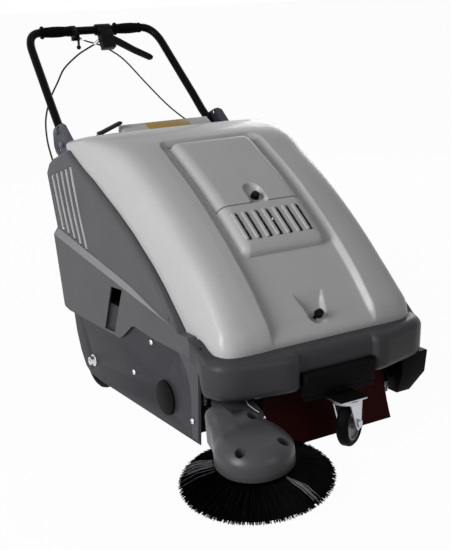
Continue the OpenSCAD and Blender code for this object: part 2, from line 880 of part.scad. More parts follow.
module arm_pivot_pin() {
    color(steel) place() side_frame() {
        x_rod(arm_x - 64, arm_x + 64, arm_pivot, 8);
        x_rod(arm_x - 66, arm_x - 62, arm_pivot, 12);
        x_rod(arm_x + 62, arm_x + 66, arm_pivot, 12);
    }
}

cover_screw_at = [[-56, -32], [44, -50], [56, 92]];

module side_brush_cover() {
    color(dark_grey) place() side_frame() difference() {
        union() {
            rotate_extrude() polygon([[0, 58], [86, 58], [90, 61], [90, 71], [86, 83], [78, 92], [66,
                98], [0, 102]]);
            translate([0, 0, 58]) linear_extrude(42) polygon([[-89, 4], [89, 4], [86, 70], [80, 104],
                [60, 124], [-58, 124], [-80, 108], [-88, 80]]);
        }
        for (p = cover_screw_at) translate([p[0], p[1], 78]) cylinder(r = 13, h = 60);
        translate([0, 0, 53]) cylinder(r = 10.05, h = 30);
    }
}

module cover_screws() {
    color(steel) place() side_frame() for (p = cover_screw_at) translate([p[0], p[1],
        78]) cylinder(r = 7, h = 5);
}

module side_brush_disc() {
    color(black) place() side_frame() {
        translate([0, 0, 43]) cylinder(r = 82, h = 12);
        translate([0, 0, 45]) cylinder(r = 10, h = 34);
    }
}

// Bristle ring: a slice of backing and a flared skirt down to the floor
module side_brush_bristles() {
    color(black) place() side_frame() rotate_extrude() polygon([[44, 43], [80, 43], [80, 37],
        [side_brush_r - 1.2, 1], [side_brush_r - 34, 1], [56, 37], [44, 37]]);
}

wire_route = [[-237.9, -414.9, 139.1], [-238.4, -412.3, 143.5], [-237.6, -399.4, 145.7], [-237, -372, 147],
    [-236.5, -345, 149.5], [-235.5, -331, 158], [-232, -323, 184], [-229, -318, 216]];

module lift_wire() {
    color(steel) place() bar(wire_route, 1.5, 8, [1, 0, 0]);
}

chassis_frame();
right_side_plate();
left_side_plate();
right_side_cover();
left_side_cover();
right_vent_bars();
left_vent_bars();
front_bumper();
bumper_block();
rear_panel();
switch_box();
right_bracket();
left_bracket();
bracket_bolts();
handle_tube();
right_grip();
left_grip();
throttle_clamp();
throttle_lever();
drive_clamp();
drive_lever();
drive_cable();
throttle_cable();
cable_ferrules();
hood();
hood_knob();
access_lid();
lid_knob();
latch_hub();
latch_lever();
engine_block();
engine_pulley();
drive_belt();
brush_pulley();
main_brush_core();
main_brush_bristles();
brush_bearings();
axle_covers();
hopper();
hopper_handle();
front_flap();
flap_strips();
stub_axles();
axle_nuts();
right_wheel_hub();
left_wheel_hub();
right_tyre();
left_tyre();
caster_plate();
caster_fork();
caster_axle();
caster_hub();
caster_tyre();
side_brush_arm();
arm_pivot_pin();
side_brush_cover();
cover_screws();
side_brush_disc();
side_brush_bristles();
lift_wire();
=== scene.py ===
import math
import random
from contextlib import contextmanager

import bpy
from mathutils import Matrix, Vector


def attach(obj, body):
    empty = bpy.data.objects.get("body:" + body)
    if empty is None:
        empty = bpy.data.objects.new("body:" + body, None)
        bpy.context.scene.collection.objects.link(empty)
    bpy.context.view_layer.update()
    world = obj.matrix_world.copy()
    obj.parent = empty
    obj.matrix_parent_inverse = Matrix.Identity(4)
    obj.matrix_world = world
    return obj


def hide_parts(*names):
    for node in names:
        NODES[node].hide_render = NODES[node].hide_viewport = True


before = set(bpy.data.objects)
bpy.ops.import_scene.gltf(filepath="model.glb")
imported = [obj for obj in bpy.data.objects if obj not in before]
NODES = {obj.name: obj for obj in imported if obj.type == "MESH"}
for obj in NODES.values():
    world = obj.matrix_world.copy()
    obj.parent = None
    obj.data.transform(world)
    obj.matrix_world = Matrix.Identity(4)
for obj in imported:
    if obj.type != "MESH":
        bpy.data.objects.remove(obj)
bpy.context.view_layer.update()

# The drawing of the machine is in millimetres, with its mid-plane at x 0, its front towards -y and the
# floor at z 0. The CAD frame has the middle of the whole machine at its origin.
SHIFT = Vector((74.914, -135.655, 0))


def at(x, y, z):
    """A point of the drawing, in metres in the CAD frame."""
    return (Vector((x, y, z)) + SHIFT) / 1000


# Tools of the bench


def take(piece):
    """Makes a piece the one in hand: active, and the only one selected."""
    bpy.ops.object.select_all(action="DESELECT")
    piece.hide_set(False)
    piece.select_set(True)
    bpy.context.view_layer.objects.active = piece


@contextmanager
def editing(select="SELECT"):
    """Edit mode on the piece in hand, with all of it selected, or none."""
    bpy.ops.object.mode_set(mode="EDIT")
    bpy.ops.mesh.select_all(action=select)
    yield
    bpy.ops.object.mode_set(mode="OBJECT")


def add(name, data):
    """A new object in the scene."""
    piece = bpy.data.objects.new(name, data)
    bpy.context.scene.collection.objects.link(piece)
    return piece


def add_mesh(name, points, faces):
    """A new mesh object in the scene."""
    mesh = bpy.data.meshes.new(name)
    mesh.from_pydata(points, [], faces)
    return add(name, mesh)


def primitive(operator, **settings):
    """A new primitive, with nothing else selected."""
    bpy.ops.object.select_all(action="DESELECT")
    operator(**settings)
    return bpy.context.object


def fit(piece, kind, **settings):
    """Adds a modifier and applies it."""
    modifier = piece.modifiers.new(kind.lower(), kind)
    for key, value in settings.items():
        setattr(modifier, key, value)
    take(piece)
    bpy.ops.object.modifier_apply(modifier=modifier.name)


def cut(piece, tool):
    """Takes the shape of a tool out of a piece, and the tool away."""
    fit(piece, "BOOLEAN", operation="DIFFERENCE", object=tool, solver="EXACT")
    bpy.data.objects.remove(tool)


def round_edges(piece, radius, segments, angle):
    """Rounds the edges sharper than an angle to a radius in mm."""
    fit(piece, "BEVEL", width=radius / 1000, segments=segments, limit_method="ANGLE",
        angle_limit=math.radians(angle))


def bevel_where(piece, chosen, **settings):
    """Bevels the edges that a test of their two ends chooses."""
    take(piece)
    with editing("DESELECT"):
        bpy.ops.mesh.select_mode(type="EDGE")
    for edge in piece.data.edges:
        edge.select = chosen(*(piece.data.vertices[i].co for i in edge.vertices))
    bpy.ops.object.mode_set(mode="EDIT")
    bpy.ops.mesh.bevel(**settings)
    bpy.ops.object.mode_set(mode="OBJECT")


def soften(piece, angle):
    """Shades a piece smooth across the edges flatter than an angle."""
    take(piece)
    bpy.ops.object.shade_smooth_by_angle(angle=math.radians(angle))


def settle(piece, place):
    """Puts a piece that was modelled at the origin in its place, which goes into its mesh."""
    take(piece)
    piece.matrix_world = place
    bpy.ops.object.transform_apply(location=True, rotation=True, scale=True)
    return piece


def paint(piece, material):
    """Gives a piece one finish all over."""
    piece.data.materials.clear()
    piece.data.materials.append(material)


def mount(piece, body, material, slot, *nodes):
    """Gives a piece its finish, its body and the CAD nodes that it stands for; the slot is not used."""
    paint(piece, material)
    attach(piece, body)
    if nodes:
        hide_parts(*nodes)
    return piece


def along(point, angle):
    """The place of a piece whose z axis leans forwards by an angle, at a point of the drawing."""
    return Matrix.Translation(at(*point)) @ Matrix.Rotation(math.radians(angle), 4, "X")


def smooth_path(points, steps):
    """A rounded line through all the points."""
    line = [Vector(p) for p in points]
    out = []
    for i in range(len(line) - 1):
        a, b, c, d = line[max(i - 1, 0)], line[i], line[i + 1], line[min(i + 2, len(line) - 1)]
        for k in range(steps):
            t = k / steps
            out.append(0.5 * (2 * b + (c - a) * t + (2 * a - 5 * b + 4 * c - d) * t * t
                              + (3 * b - a - 3 * c + d) * t * t * t))
    return out + [line[-1]]


def clamp(value):
    """A value held between 0 and 1."""
    return min(max(value, 0), 1)


def step_between(low, high, value):
    """A smooth step from 0 at the low value to 1 at the high one."""
    t = clamp((value - low) / (high - low))
    return t * t * (3 - 2 * t)


def rolled_edge(depth):
    """Height of a rounded edge, from 0 at its foot to 1 at its crown."""
    t = clamp(depth)
    return math.sqrt(1 - (1 - t) ** 2)


# Finishes


def finish(name, tone, rough, metal=0.0, mottle=0.08, patch=0.05, grain=0.0, grain_size=0.001, coat=0.0,
           specular=0.5, rough_spread=0.06, speckle=0.0):
    """A surface with a drifting tone, uneven gloss and a fine grain."""
    material = bpy.data.materials.new(name)
    material.use_nodes = True
    nodes, links = material.node_tree.nodes, material.node_tree.links
    shader = nodes["Principled BSDF"]
    shader.inputs["Metallic"].default_value = metal
    shader.inputs["Coat Weight"].default_value = coat
    shader.inputs["Coat Roughness"].default_value = 0.08
    shader.inputs["Specular IOR Level"].default_value = specular
    place = nodes.new("ShaderNodeTexCoord").outputs["Object"]

    def noise(size, detail):
        node = nodes.new("ShaderNodeTexNoise")
        node.inputs["Scale"].default_value = 1 / size
        node.inputs["Detail"].default_value = detail
        links.new(place, node.inputs["Vector"])
        return node.outputs["Fac"]

    drift = noise(patch, 4)
    tint = nodes.new("ShaderNodeMix")
    tint.data_type = "RGBA"
    tint.inputs["A"].default_value = [c * (1 - mottle) for c in tone] + [1]
    tint.inputs["B"].default_value = [min(c * (1 + mottle), 1) for c in tone] + [1]
    links.new(drift, tint.inputs["Factor"])
    colour = tint.outputs["Result"]
    if speckle:
        fleck = nodes.new("ShaderNodeMix")
        fleck.data_type = "RGBA"
        fleck.blend_type = "OVERLAY"
        fleck.inputs["Factor"].default_value = speckle
        links.new(colour, fleck.inputs["A"])
        links.new(noise(0.0016, 2), fleck.inputs["B"])
        colour = fleck.outputs["Result"]
    links.new(colour, shader.inputs["Base Color"])
    gloss = nodes.new("ShaderNodeMapRange")
    gloss.inputs["To Min"].default_value = max(rough - rough_spread, 0.02)
    gloss.inputs["To Max"].default_value = min(rough + rough_spread, 1)
    links.new(noise(patch * 0.6, 5), gloss.inputs["Value"])
    links.new(gloss.outputs["Result"], shader.inputs["Roughness"])
    if grain:
        bump = nodes.new("ShaderNodeBump")
        bump.inputs["Strength"].default_value = grain
        bump.inputs["Distance"].default_value = grain_size * 0.5
        links.new(noise(grain_size, 3), bump.inputs["Height"])
        links.new(bump.outputs["Normal"], shader.inputs["Normal"])
    return material


HOOD_GREY = finish("hood_light_grey", (0.39, 0.39, 0.392), 0.4, mottle=0.04, patch=0.2, grain=0.06,
                   grain_size=0.004, coat=0.15, speckle=0.22, specular=0.25)
# The crease band's paler grey is painted light: the crease's sloped face coloured as if lit.
CREASE_PAINTED_LIGHT = finish("crease_painted_light_grey", (0.19, 0.188, 0.2), 0.42, mottle=0.05, specular=0.18)
VENT_GREY = finish("vent_insert_grey", (0.3, 0.3, 0.305), 0.45, mottle=0.05)
COVER_GREY = finish("cover_dark_grey", (0.062, 0.061, 0.067), 0.42, mottle=0.06, patch=0.15, grain=0.18,
                    grain_size=0.0012, specular=0.18)
BUMPER_GREY = finish("bumper_charcoal", (0.042, 0.042, 0.046), 0.36, mottle=0.08, patch=0.12, grain=0.12,
                     grain_size=0.0012, specular=0.1)
BRUSH_COVER_GREY = finish("brush_cover_grey", (0.045, 0.044, 0.048), 0.34, mottle=0.08, patch=0.08,
                          grain=0.12, grain_size=0.001, specular=0.25)
SLATE_PAINT = finish("slate_powder_coat", (0.022, 0.0225, 0.027), 0.44, mottle=0.06, patch=0.12, grain=0.25,
                     grain_size=0.0014, specular=0.1)
BRACKET_PAINT = finish("bracket_blue_slate", (0.026, 0.028, 0.043), 0.4, mottle=0.06, patch=0.06, grain=0.25,
                       grain_size=0.0012, specular=0.2)
BLACK_PAINT = finish("handle_black_paint", (0.0015, 0.0015, 0.0015), 0.34, mottle=0.15, patch=0.05,
                     grain=0.04, grain_size=0.002, specular=0.04)
BLOCK_BLACK = finish("block_black_plastic", (0.003, 0.003, 0.0032), 0.45, mottle=0.1, patch=0.06, grain=0.15,
                     grain_size=0.0012, specular=0.03)
STRIP_PAINT = finish("strip_slate_paint", (0.045, 0.046, 0.053), 0.42, mottle=0.06, patch=0.1, grain=0.2,
                     grain_size=0.0014, specular=0.2)
BLACK_PLASTIC = finish("control_black_plastic", (0.003, 0.003, 0.003), 0.36, mottle=0.2, patch=0.02,
                       grain=0.1, grain_size=0.0008, specular=0.06)
GRIP_RUBBER = finish("grip_rubber", (0.0015, 0.0015, 0.0015), 0.62, mottle=0.2, patch=0.01, grain=0.5,
                     grain_size=0.0012, specular=0.03)
SHEATH = finish("cable_sheath", (0.005, 0.005, 0.005), 0.4, mottle=0.15, patch=0.02, specular=0.15)
BRIGHT_PLATE = finish("bright_plating", (0.72, 0.72, 0.74), 0.16, metal=1.0, mottle=0.06, patch=0.006)
ZINC = finish("zinc_plating", (0.46, 0.47, 0.5), 0.34, metal=1.0, mottle=0.16, patch=0.012, grain=0.15,
              grain_size=0.001, rough_spread=0.12)
DULL_ZINC = finish("dull_zinc", (0.16, 0.165, 0.19), 0.45, metal=0.6, mottle=0.12, patch=0.01, specular=0.3)
CASTING = finish("engine_casting", (0.36, 0.37, 0.38), 0.5, metal=0.85, mottle=0.15, patch=0.02, grain=0.4,
                 grain_size=0.0015)
RED_PLASTIC = finish("latch_red_plastic", (0.1, 0.01, 0.01), 0.32, mottle=0.1, patch=0.01)
RED_RUBBER = finish("flap_red_rubber", (0.022, 0.001, 0.001), 0.6, mottle=0.2, patch=0.02, grain=0.3,
                    specular=0.05)
BELT_RUBBER = finish("belt_rubber", (0.012, 0.012, 0.012), 0.7, mottle=0.2, patch=0.01, grain=0.4)
TYRE_RUBBER = finish("tyre_rubber", (0.002, 0.002, 0.002), 0.6, mottle=0.25, patch=0.015, grain=0.4,
                     grain_size=0.0015, specular=0.04)
HUB_GREY = finish("hub_grey_plastic", (0.16, 0.16, 0.165), 0.42, mottle=0.08, patch=0.02, grain=0.1)
CORE_GREY = finish("brush_core_plastic", (0.04, 0.04, 0.04), 0.5, mottle=0.1, patch=0.03, grain=0.2)
BRISTLE_BLACK = finish("bristle_nylon", (0.001, 0.001, 0.001), 0.45, mottle=0.3, patch=0.01, specular=0.02)
# The pale bristle finish is a painted highlight: the glint of glossy strands put into their colour.
BRISTLE_HIGHLIGHT = finish("bristle_painted_highlight", (0.16, 0.155, 0.17), 0.4, mottle=0.5, patch=0.004, specular=0.3)
PLATE_YELLOW = finish("blank_yellow_plate", (0.3, 0.18, 0.012), 0.45, mottle=0.1, patch=0.02, grain=0.1)

# Camera at the photograph's angle

YAW, PITCH, ROLL = (math.radians(a) for a in (31.647, 15.103, -1.798))
EYE = (-1543.1, -2378.4, 1119.8)
SENSOR, FOCAL_PIXELS, PHOTO_HEIGHT = 36, 1100.3, 550
ahead = Vector((math.sin(YAW) * math.cos(PITCH), math.cos(YAW) * math.cos(PITCH), -math.sin(PITCH)))
level = Vector((math.cos(YAW), -math.sin(YAW), 0))
upright = level.cross(ahead)
right = math.cos(ROLL) * level + math.sin(ROLL) * upright
top = math.cos(ROLL) * upright - math.sin(ROLL) * level
camera = add("camera", bpy.data.cameras.new("camera"))
camera.data.sensor_width = SENSOR
camera.data.lens = SENSOR * FOCAL_PIXELS / PHOTO_HEIGHT
camera.data.clip_end = 200
camera.matrix_world = Matrix.Translation(at(*EYE)) @ Matrix((right, top, -ahead)).transposed().to_4x4()
bpy.context.scene.camera = camera

# Control cables between the handle and the body


def tube(name, line, radius, resolution):
    """A closed tube of a radius in mm along a line."""
    curve = bpy.data.curves.new(name, "CURVE")
    curve.dimensions = "3D"
    curve.bevel_depth = radius / 1000
    curve.bevel_resolution = resolution
    curve.use_fill_caps = True
    spline = curve.splines.new("POLY")
    spline.points.add(len(line) - 1)
    for point, p in zip(spline.points, line):
        point.co = (*p, 1)
    spline.use_smooth = True
    return add(name, curve)


def lay_cable(name, route, radius, node):
    """A sheathed cable along its route, held by the machine at both ends."""
    line = [at(*p) for p in smooth_path(route, 4)]
    piece = tube(name, line, radius, 5)
    mount(piece, "frame", SHEATH, "cable_sheath", node)


lay_cable("drive_cable_sheath", [
    (-10, 864, 927), (-34, 864, 916), (-68, 864, 898), (-118, 858, 861), (-150, 842, 822), (-183, 818, 787),
    (-213, 785, 754), (-238, 748, 722), (-258, 704, 690), (-272, 662, 658), (-281, 622, 628),
    (-285, 588, 590), (-284, 540, 520), (-282, 500, 420), (-282, 470, 328)], 2.8, "drive_cable")
lay_cable("throttle_cable_sheath", [
    (-28, 899, 943), (-6, 912, 936), (40, 918, 922), (72, 910, 904), (108, 884, 871), (154, 836, 800),
    (186, 762, 735), (196, 690, 702), (196, 640, 690), (192, 590, 692),
    (190, 540, 694)], 2.5, "throttle_cable")

# Handle tube

HANDLE_CORNER = Vector((222, 893, 972))
HANDLE_KNEE = Vector((248.8, 626, 711))
HANDLE_FOOT = Vector((248.8, 570, 660))
HANDLE_BEND, LEG_BEND = 48, 76
TUBE_RADIUS = 12.7


def bend_handle():
    """The U of the handle, bent from one tube."""
    leg = (HANDLE_KNEE - HANDLE_CORNER).normalized()
    side = [HANDLE_FOOT, HANDLE_KNEE - Vector((0, 8, 7.2)), HANDLE_KNEE + Vector((-2, 12, 10.8))]
    side += [HANDLE_KNEE.lerp(HANDLE_CORNER, t) for t in (0.2, 0.5)]
    for k in range(17):
        t = k / 16
        side.append(HANDLE_CORNER + (1 - t) ** 2 * LEG_BEND * leg + t * t * Vector((-HANDLE_BEND, 0, 0)))
    line = side + [Vector((-p.x, p.y, p.z)) for p in reversed(side)]
    piece = tube("handle_bent_tube", [at(*p) for p in line], TUBE_RADIUS, 8)
    take(piece)
    bpy.ops.object.convert(target="MESH")
    soften(piece, 50)
    mount(piece, "frame", BLACK_PAINT, "black_paint", "handle_tube")


bend_handle()

# Hood and lid

HOOD_HALF = 297
HOOD_RIM = 264
CHANNEL_HALF = 161
CHANNEL_DEPTH = 17
WALL = 4
HOOD_RAIL = [(480, 694), (380, 712), (280, 714), (190, 697), (100, 652), (10, 600), (-80, 538), (-170, 468),
             (-244, 402), (-290, 352), (-317, 320), (-330, 288), (-332, HOOD_RIM)]
HOOD_FLANK = [(0.64, 1), (0.775, -3), (0.865, -12), (0.922, -28), (0.956, -49), (0.978, -76), (0.993, -108),
              (1, -145)]
LID_HALF = 127
LID_ROLL = 30
LID_RISE = 7
KNOB_SEAT, FRONT_KNOB_SEAT = (0, -36, 577), (0, -312, 326)
KNOB_BORE = 5.6
ARCH_HALF, ARCH_RISE, ARCH_DEPTH = 27, 16, 11
SEAM_DROP = 6
SLOT_PITCH, SLOT_WIDTH, LIP_WIDTH = 31, 12, 10

crest = smooth_path([(0, y, z) for y, z in HOOD_RAIL], 24)
crest_length = [0.0]
for first, second in zip(crest, crest[1:]):
    crest_length.append(crest_length[-1] + (second - first).length)
HOOD_LENGTH = crest_length[-1]


def crest_at(s):
    """Point and heading of the hood's crest at a length from its rear edge."""
    i = max(k for k in range(len(crest) - 1) if crest_length[k] <= s or k == 0)
    t = (s - crest_length[i]) / (crest_length[i + 1] - crest_length[i])
    before, after = crest[max(i - 2, 0)], crest[min(i + 3, len(crest) - 1)]
    return crest[i].lerp(crest[i + 1], t), (after - before).normalized()


def length_at(y):
    """Length along the crest to the point nearest to a y of the drawing."""
    return min(zip(crest_length, crest), key=lambda pair: abs(pair[1].y - y))[0]


LID_TOP, SEAM, PANEL_END = length_at(192), length_at(-54), length_at(-176)
KNOB_S, FRONT_KNOB_S = length_at(-31), length_at(-312)


def on_hood(x, height, s):
    """The point of the hood at a height over the crest line."""
    point, heading = crest_at(s)
    return at(x, point.y + height * heading.z, point.z - height * heading.y)


def inside(x, s, half, start, end, corner):
    """How far a point lies inside an outline on the hood with rounded corners."""
    across, down = abs(x) - (half - corner), max(start + corner - s, s - (end - corner))
    return corner - math.hypot(max(across, 0), max(down, 0)) - min(max(across, down), 0)


def channel(x, s):
    """Depth of the long channel, which runs out at the front rim."""
    depth = inside(x, s, CHANNEL_HALF, LID_TOP - 13, HOOD_LENGTH + 200, 34)
    deep = CHANNEL_DEPTH * step_between(0, 14, depth)
    return deep * (1 - step_between(HOOD_LENGTH - 64, HOOD_LENGTH - 6, s))


def pocket(x, s, knob_s, radius, reach, flare, deep):
    """Depth of the finger pocket round a knob: a round foot that flares and rises uphill."""
    up = knob_s - s
    if up > reach:
        return 0
    edge = radius - math.hypot(x, up) if up < 0 else radius + flare * (up / reach) ** 1.4 - abs(x)
    depth = deep * (1 - step_between(0.2, 1, up / reach)) if up > 0 else deep
    return depth * step_between(0, 7, edge)


def hood_height(x, s):
    """Height of the hood over its crest line, with the channel, the grille panel and the front pocket."""
    height = 1.0 - channel(x, s)
    if s > SEAM:
        rise = inside(x, s, LID_HALF, LID_TOP, PANEL_END, 24)
        groove = SEAM_DROP if s < SEAM + 1.2 and rise > 0 else 0
        height += (CHANNEL_DEPTH + LID_RISE - 1) * rolled_edge(rise / LID_ROLL) - groove
    return height - pocket(x, s, FRONT_KNOB_S, radius=29, reach=74, flare=21, deep=16)


def arch(x, s):
    """How far a point lies inside the arched finger pocket that opens at the lid's lower edge."""
    up = KNOB_S - s - ARCH_RISE
    return ARCH_HALF - (math.hypot(x, up) if up > 0 else abs(x))


def flank_drop(drop, s):
    """The shoulder is square at the rear and front ends of the hood and rounder between them."""
    share = 0.12 + 0.88 * step_between(110, 430, s)
    share *= 1 - 0.45 * step_between(HOOD_LENGTH - 200, HOOD_LENGTH - 30, s)
    return drop if drop < -120 else drop * share


def shape_sheet(name, columns, rows, place):
    """A grid with one point for each column and row, each set on the moulding."""
    across, down = len(columns) - 1, len(rows) - 1
    piece = primitive(bpy.ops.mesh.primitive_grid_add, x_subdivisions=across, y_subdivisions=down, size=1)
    piece.name = piece.data.name = name
    for v in piece.data.vertices:
        v.co = place(columns[round((v.co.x + 0.5) * across)], rows[round((v.co.y + 0.5) * down)])
    piece.location = (0, 0, 0)
    return piece


def spread(low, high, pitch):
    """Even steps from low to high, about a pitch apart."""
    count = max(1, round((high - low) / pitch))
    return [low + (high - low) * k / count for k in range(count + 1)]


def form_hood():
    """The hood's shell, open under the lid."""
    flank = smooth_path([(x * HOOD_HALF, z, 0) for x, z in HOOD_FLANK], 4)
    flat = spread(0, 50, 2.5) + spread(50, LID_HALF + 1, 3.5)[1:] + spread(LID_HALF + 1, 166, 2.5)[1:]
    flat += spread(166, flank[0].x, 6)[1:-1]
    half = [(x, None) for x in flat] + [(p.x, p.y) for p in flank]
    columns = [(-x, z) for x, z in reversed(half[1:])] + half
    rows = spread(0, LID_TOP - 24, 7) + spread(LID_TOP - 24, LID_TOP - 1, 2)[1:]
    rows += spread(LID_TOP - 1, SEAM + 1, 5)[1:]
    rows += spread(SEAM + 2.2, PANEL_END + 6, 3) + spread(PANEL_END + 6, FRONT_KNOB_S - 70, 6)[1:]
    rows += spread(FRONT_KNOB_S - 70, FRONT_KNOB_S + 32, 3)[1:]
    rows += spread(FRONT_KNOB_S + 32, HOOD_LENGTH, 5)[1:]
    rows.reverse()

    def place(column, s):
        x, drop = column
        point = on_hood(x, hood_height(x, s) if drop is None else flank_drop(drop, s), s)
        point.z = HOOD_RIM / 1000 if s == HOOD_LENGTH else max(point.z, HOOD_RIM / 1000)
        return point

    piece = shape_sheet("hood_shell", columns, rows, place)
    take(piece)
    with editing("DESELECT"):
        bpy.ops.mesh.select_mode(type="FACE")
    across = len(columns) - 1
    reach = [abs(x) for x, _ in columns]
    open_columns = {i for i in range(across) if max(reach[i], reach[i + 1]) < LID_HALF + 1.1}
    open_rows = {i for i in range(len(rows) - 1) if LID_TOP - 1.1 < rows[i + 1] and rows[i] < SEAM + 1.1}
    for face in piece.data.polygons:
        face.select = face.index % across in open_columns and face.index // across in open_rows
    bpy.ops.object.mode_set(mode="EDIT")
    bpy.ops.mesh.delete(type="FACE")
    bpy.ops.object.mode_set(mode="OBJECT")
    fit(piece, "SOLIDIFY", thickness=WALL / 1000, offset=-1)
    return piece


GRILLE_TOP, GRILLE_LOW = SEAM + 27, SEAM + 118


def grille_bar(name, width, thick, lift, slide):
    """A bar with round ends that lies along the grille panel's slope."""
    middle = (GRILLE_TOP + GRILLE_LOW) / 2
    point, heading = crest_at(middle)
    piece = primitive(bpy.ops.mesh.primitive_cube_add, size=1)
    piece.name = name
    piece.scale = (width / 1000, (GRILLE_LOW - GRILLE_TOP) / 1000, thick / 1000)
    bpy.ops.object.transform_apply(scale=True)
    bevel_where(piece, lambda a, b: abs(a.z - b.z) > 1e-6, offset=width * 0.48 / 1000, segments=5)
    slope = math.atan2(heading.z, heading.y) - math.pi
    seat = Matrix.Translation(at(slide, point.y + lift * heading.z, point.z - lift * heading.y))
    return settle(piece, seat @ Matrix.Rotation(slope, 4, "X"))


def join(pieces, name):
    """Makes several pieces one, under a name."""
    bpy.ops.object.select_all(action="DESELECT")
    for piece in pieces:
        piece.select_set(True)
    bpy.context.view_layer.objects.active = pieces[0]
    bpy.ops.object.join()
    pieces[0].name = pieces[0].data.name = name
    return pieces[0]


def bore_for_knob(piece, seat, lean):
    """Drills the hole for a knob's spindle."""
    drill = primitive(bpy.ops.mesh.primitive_cylinder_add, vertices=32, radius=KNOB_BORE / 1000, depth=0.1)
    cut(piece, settle(drill, along(seat, lean)))


hood = form_hood()
slots = [grille_bar(f"slot_{i}", SLOT_WIDTH, 40, 0, SLOT_PITCH * i) for i in range(-3, 4)]
cut(hood, join(slots, "slot_cutter"))
bore_for_knob(hood, FRONT_KNOB_SEAT, 50)
soften(hood, 40)
mount(hood, "hood", HOOD_GREY, "hood_shell", "hood")


def louvre_lip(i):
    """The raised lip beside one of the grille's slots."""
    lip = grille_bar(f"grille_lip_{i + 4}", LIP_WIDTH, 6, LID_RISE + 1.5, SLOT_PITCH * i - 10)
    round_edges(lip, 2.2, 3, 50)
    soften(lip, 50)
    return lip


mount(join([louvre_lip(i) for i in range(-3, 4)], "grille_lips"), "hood", HOOD_GREY, "hood_shell")


def form_lid():
    """The lid in the channel, with a rolled edge and an arched pocket for its knob."""
    columns = spread(-LID_HALF, LID_HALF, 3)
    rows = [SEAM - 1] + list(reversed(spread(LID_TOP, SEAM - 2, 2.5)))

    def place(x, s):
        foot = -channel(x, s)
        depth = inside(x, s, LID_HALF, LID_TOP, HOOD_LENGTH, 26)
        height = foot + (LID_RISE - foot) * rolled_edge(depth / LID_ROLL)
        if s == rows[0]:
            height -= SEAM_DROP
        return on_hood(x, height - ARCH_DEPTH * step_between(0, 7, arch(x, s)), s)

    piece = shape_sheet("access_lid_panel", columns, rows, place)
    fit(piece, "SOLIDIFY", thickness=WALL / 1000, offset=-1)
    bore_for_knob(piece, KNOB_SEAT, 35)
    soften(piece, 45)
    mount(piece, "access_lid", HOOD_GREY, "hood_shell", "access_lid")


form_lid()

# Moulded and pressed pieces: the CAD solids with their edges rounded as the real ones are


def refine(node, body, material, slot, radius, segments=3, angle=32, shape=None, smooth=34):
    """A copy of a CAD node with its corners merged, shaped, and its edges rounded to a radius in mm."""
    piece = NODES[node].copy()
    piece.data = NODES[node].data.copy()
    piece.name = piece.data.name = node + "_piece"
    for key in list(piece.keys()):
        del piece[key]
    piece.parent = None
    bpy.context.scene.collection.objects.link(piece)
    take(piece)
    with editing():
        bpy.ops.mesh.remove_doubles(threshold=0.00001)
        bpy.ops.mesh.dissolve_limited(angle_limit=math.radians(0.6))
    bpy.ops.mesh.customdata_custom_splitnormals_clear()
    if shape:
        shape(piece)
    round_edges(piece, radius, segments, angle)
    soften(piece, smooth)
    return mount(piece, body, material, slot, node)


SIDE_REACH = 181
BRUSH_TILT = math.radians(8)
SIDE_POS = (-300, -470, SIDE_REACH * math.sin(BRUSH_TILT) + 1)
side_place = Matrix.Translation(at(*SIDE_POS)) @ Matrix.Rotation(BRUSH_TILT, 4, Vector((0.6, -0.8, 0)))


def reach_under(piece):
    """Draws the front end of the brush arm forwards under the cover."""
    for v in piece.data.vertices:
        spot = side_place.inverted() @ v.co
        if spot.y < 0.126:
            v.co = side_place @ (spot - Vector((0, 0.036, 0.002)))


COVER_EDGE = [(588, 600), (574, 622), (552, 634), (500, 652), (466, 667), (448, 668), (430, 658), (367, 628),
              (300, 602), (235, 571), (180, 546), (128, 519), (80, 493), (35, 463), (-6, 438), (-44, 409),
              (-78, 382), (-110, 352), (-138, 327), (-160, 306)]
COVER_INNER, COVER_FACE = 300, 322
CREASE_FRONT, CREASE_FOOT, CREASE_SLOPE = -300, 283, 0.1553
CREASE_TALL, CREASE_DEEP, CREASE_RETURN = 17, 15, 0.1
CREASE_START, CREASE_RUN = -210, 750
BAND_FRONT, BAND_PROUD = -160, 0.7


def crease_foot(y):
    """Height of the lower line of the crease, which climbs to the rear."""
    return CREASE_FOOT + (y - CREASE_FRONT) * CREASE_SLOPE


def crease_share(y):
    """The crease is deepest at the rear and runs out at the front."""
    return clamp((y - CREASE_START) / CREASE_RUN)


def fold_back(piece):
    """Sets the part above the crease back, with a sloped band below it; higher up it comes out again."""
    take(piece)
    planes = [((0, CREASE_FRONT, CREASE_FOOT + up), (0, -CREASE_SLOPE, 1)) for up in (0, CREASE_TALL)]
    planes += [((0, y, 0), (0, 1, 0)) for y in range(-180, 540, 40)]
    for point, normal in planes:
        with editing():
            bpy.ops.mesh.bisect(plane_co=at(*point), plane_no=normal)
    for v in piece.data.vertices:
        x, y, z = v.co * 1000 - SHIFT
        height = z - crease_foot(y)
        back = CREASE_DEEP * clamp(height / CREASE_TALL) - CREASE_RETURN * max(height - CREASE_TALL, 0)
        back = max(back, 0) * crease_share(y)
        outer = clamp((abs(x) - COVER_INNER) / (COVER_FACE - COVER_INNER))
        v.co.x -= math.copysign(back * outer / 1000, x)


